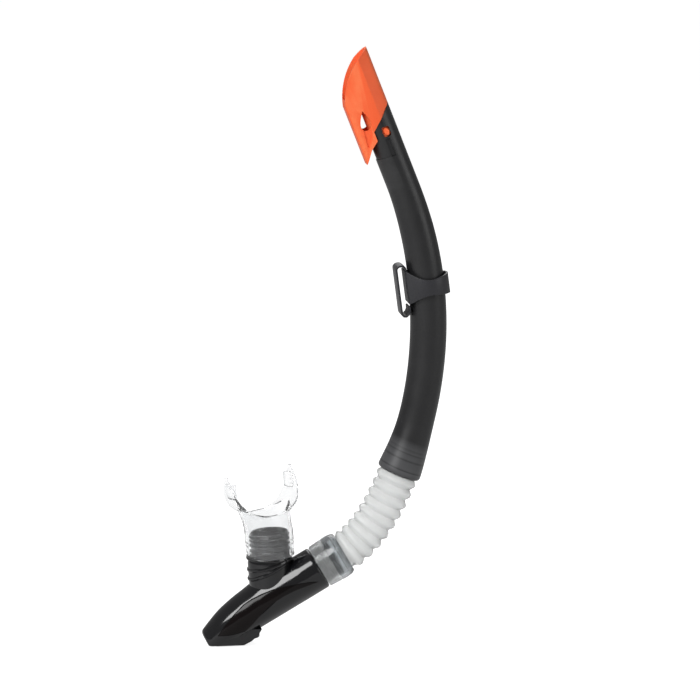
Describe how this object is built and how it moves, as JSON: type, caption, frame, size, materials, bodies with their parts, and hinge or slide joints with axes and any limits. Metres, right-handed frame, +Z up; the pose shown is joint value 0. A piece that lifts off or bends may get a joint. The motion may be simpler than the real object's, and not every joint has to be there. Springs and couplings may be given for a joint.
{
  "type": "snorkel tube",
  "caption": "Bent snorkel barrel with splash guard, mask-strap keeper, flexible hose, purge chamber and silicone mouthpiece.",
  "frame": {"origin": "middle of the keeper's mask-strap slot", "axes": "+Z up the barrel, +Y through the strap slot, +X from the mouthpiece side towards the barrel"},
  "size_m": [0.1772, 0.0398, 0.425],
  "materials": {
    "smoked_plastic": "satin smoked",
    "orange_plastic": "satin",
    "charcoal_rubber": "soft satin",
    "milky_silicone": "translucent",
    "clear_plastic": "clear gloss",
    "seal_rubber": "satin",
    "gloss_smoked_plastic": "high gloss",
    "valve_silicone": "translucent",
    "clear_silicone": "clear gloss"
  },
  "bodies": {
    "barrel": {"barrel": "smoked_plastic", "splash_guard": "orange_plastic", "retainer_ring": "gloss_smoked_plastic", "hose_insert": "clear_plastic"},
    "latch_front": {"latch_front": "orange_plastic"},
    "latch_back": {"latch_back": "orange_plastic"},
    "keeper": {"keeper_band": "charcoal_rubber"},
    "gate": {"keeper_gate": "charcoal_rubber"},
    "hose_end": {"flex_hose": "milky_silicone", "collar_cap": "clear_plastic", "swivel_collar": "clear_plastic", "swivel_seal": "seal_rubber"},
    "chamber": {"chamber_body": "gloss_smoked_plastic", "purge_seat": "gloss_smoked_plastic", "purge_cover": "gloss_smoked_plastic"},
    "purge_valve": {"purge_valve": "valve_silicone"},
    "mouthpiece": {"mouthpiece": "clear_silicone"}
  },
  "joints": [
    {"name": "latch_front_press", "type": "slide", "parent": "barrel", "child": "latch_front", "axis": [0, 1, 0], "range_m": [0, 0.0016], "stiffness_N_per_m": 900},
    {"name": "latch_back_press", "type": "slide", "parent": "barrel", "child": "latch_back", "axis": [0, -1, 0], "range_m": [0, 0.0016], "stiffness_N_per_m": 900},
    {"name": "keeper_slide", "type": "hinge", "parent": "barrel", "child": "keeper", "pos_m": [-0.2584, 0, -0.0248], "axis": [0, 1, 0], "range_deg": [-5, 11]},
    {"name": "gate_open", "type": "hinge", "parent": "keeper", "child": "gate", "pos_m": [0.00108, 0, 0.0156], "axis": [0, 1, 0], "range_deg": [0, 40], "stiffness_Nm_per_rad": 0.02},
    {"name": "hose_flex", "type": "hinge", "parent": "barrel", "child": "hose_end", "pos_m": [-0.0205, 0, -0.166], "axis": [0, 1, 0], "range_deg": [-30, 20], "stiffness_Nm_per_rad": 0.6, "deforming": ["flex_hose"]},
    {"name": "chamber_swivel", "type": "hinge", "parent": "hose_end", "child": "chamber", "pos_m": [-0.05935, 0, -0.1979], "axis": [0.866, 0, 0.5], "continuous": true},
    {"name": "mouthpiece_turn", "type": "hinge", "parent": "chamber", "child": "mouthpiece", "pos_m": [-0.0952, 0, -0.1708], "axis": [-0.0698, 0, 0.9976], "continuous": true},
    {"name": "purge_lift", "type": "slide", "parent": "chamber", "child": "purge_valve", "axis": [0, 0, -1], "range_m": [0, 0.0011], "stiffness_N_per_m": 40}
  ]
}
